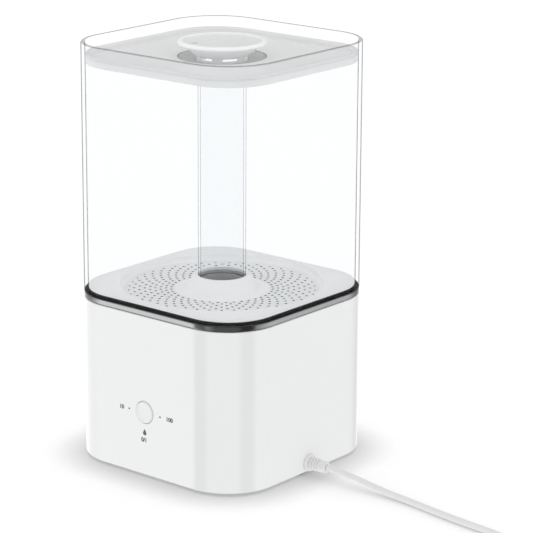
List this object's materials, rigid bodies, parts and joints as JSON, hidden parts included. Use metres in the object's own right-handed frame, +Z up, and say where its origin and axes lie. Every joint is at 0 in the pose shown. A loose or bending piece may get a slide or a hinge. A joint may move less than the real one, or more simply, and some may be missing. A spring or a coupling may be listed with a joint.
{
  "type": "cool mist humidifier",
  "caption": "Cool mist humidifier: rounded-square white base with control knob, clear lift-off tank with strainer tray and centre mist tube, and a lift-off lid with a turning nozzle.",
  "frame": {"origin": "centre of the footprint on the surface that the humidifier stands on", "axes": "+Z up; the control knob faces -Y; the cord leaves at +X"},
  "size_m": [0.4449, 0.2355, 0.3282],
  "materials": {
    "white_shell": "glossy",
    "inner_white": "satin",
    "foot_rubber": "matte",
    "screw_steel": "satin",
    "black_rubber": "matte",
    "ceramic": "satin",
    "float_foam": "matte",
    "black_plastic": "satin",
    "board": "satin",
    "parts_dark": "satin",
    "parts_yellow": "satin",
    "sink": "satin",
    "light_window": "glossy",
    "pot_metal": "satin",
    "lead_black": "satin",
    "lead_red": "satin",
    "lead_grey": "satin",
    "lead_yellow": "satin",
    "dark_trim": "glossy",
    "clear_tank": "glossy",
    "pan_plastic": "satin",
    "tray_white": "satin",
    "milky_lid": "satin",
    "nozzle_white": "glossy",
    "knob_white": "satin",
    "cord_white": "satin",
    "tie_black": "matte",
    "pin_brass": "satin",
    "fan_dark": "satin"
  },
  "bodies": {
    "base": {"base_housing": "white_shell", "base_bottom": "inner_white", "feet": "foot_rubber", "bottom_screws": "screw_steel", "water_basin": "white_shell", "basin_seal": "black_rubber", "transducer_disc": "ceramic", "transducer_seal": "black_rubber", "transducer_plate": "screw_steel", "transducer_screws": "screw_steel", "float_clip": "inner_white", "level_sensor": "black_plastic", "fan_frame": "black_plastic", "fan_screws": "screw_steel", "air_duct": "inner_white", "driver_board": "board", "driver_parts": "parts_dark", "heat_sink": "sink", "power_board": "board", "power_parts": "parts_yellow", "board_screws": "screw_steel", "panel_board": "board", "panel_screws": "screw_steel", "panel_light": "light_window", "indicator_lens": "light_window", "pot_body": "pot_metal", "pot_nut": "screw_steel", "mains_lead": "lead_black", "dc_lead": "lead_red", "fan_lead": "lead_red", "disc_lead": "lead_grey", "sensor_lead": "lead_yellow", "panel_lead": "lead_grey", "strain_relief": "cord_white", "power_cord": "cord_white", "power_cord_coil": "cord_white", "power_cord_tail": "cord_white", "cord_tie": "tie_black", "plug_body": "cord_white", "plug_pins": "pin_brass"},
    "tank": {"trim_ring": "dark_trim", "tank_wall": "clear_tank", "tank_floor": "pan_plastic", "tank_seal": "black_rubber", "filter_tray": "tray_white", "mist_tube": "clear_tank", "tube_seal": "lead_grey", "valve_body": "inner_white", "valve_gasket": "black_rubber", "valve_nut": "inner_white", "valve_spring": "screw_steel"},
    "valve": {"valve_plunger": "inner_white", "valve_seal": "black_rubber"},
    "lid": {"lid": "milky_lid", "lid_seal": "milky_lid"},
    "nozzle": {"nozzle": "nozzle_white"},
    "fan": {"fan_impeller": "fan_dark"},
    "float": {"float_ring": "float_foam"},
    "knob": {"knob": "knob_white", "pot_shaft": "screw_steel"}
  },
  "joints": [
    {"name": "tank_lift", "type": "slide", "parent": "base", "child": "tank", "axis": [0, 0, 1], "range_m": [0, 0.07]},
    {"name": "lid_lift", "type": "slide", "parent": "tank", "child": "lid", "axis": [0, 0, 1], "range_m": [0, 0.06]},
    {"name": "nozzle_turn", "type": "hinge", "parent": "lid", "child": "nozzle", "pos_m": [0, 0, 0.315], "axis": [0, 0, 1], "continuous": true},
    {"name": "valve_press", "type": "slide", "parent": "tank", "child": "valve", "axis": [0, 0, 1], "range_m": [0, 0.0025], "stiffness_N_per_m": 200, "springref_m": -0.002, "deforming": ["valve_spring"]},
    {"name": "float_rise", "type": "slide", "parent": "base", "child": "float", "axis": [0, 0, 1], "range_m": [0, 0.008]},
    {"name": "knob_turn", "type": "hinge", "parent": "base", "child": "knob", "pos_m": [-0.002, -0.088, 0.0527], "axis": [0, 1, 0], "range_deg": [0, 270]},
    {"name": "fan_spin", "type": "hinge", "parent": "base", "child": "fan", "pos_m": [-0.056, 0.03, 0.02], "axis": [0, 0, 1], "continuous": true}
  ]
}
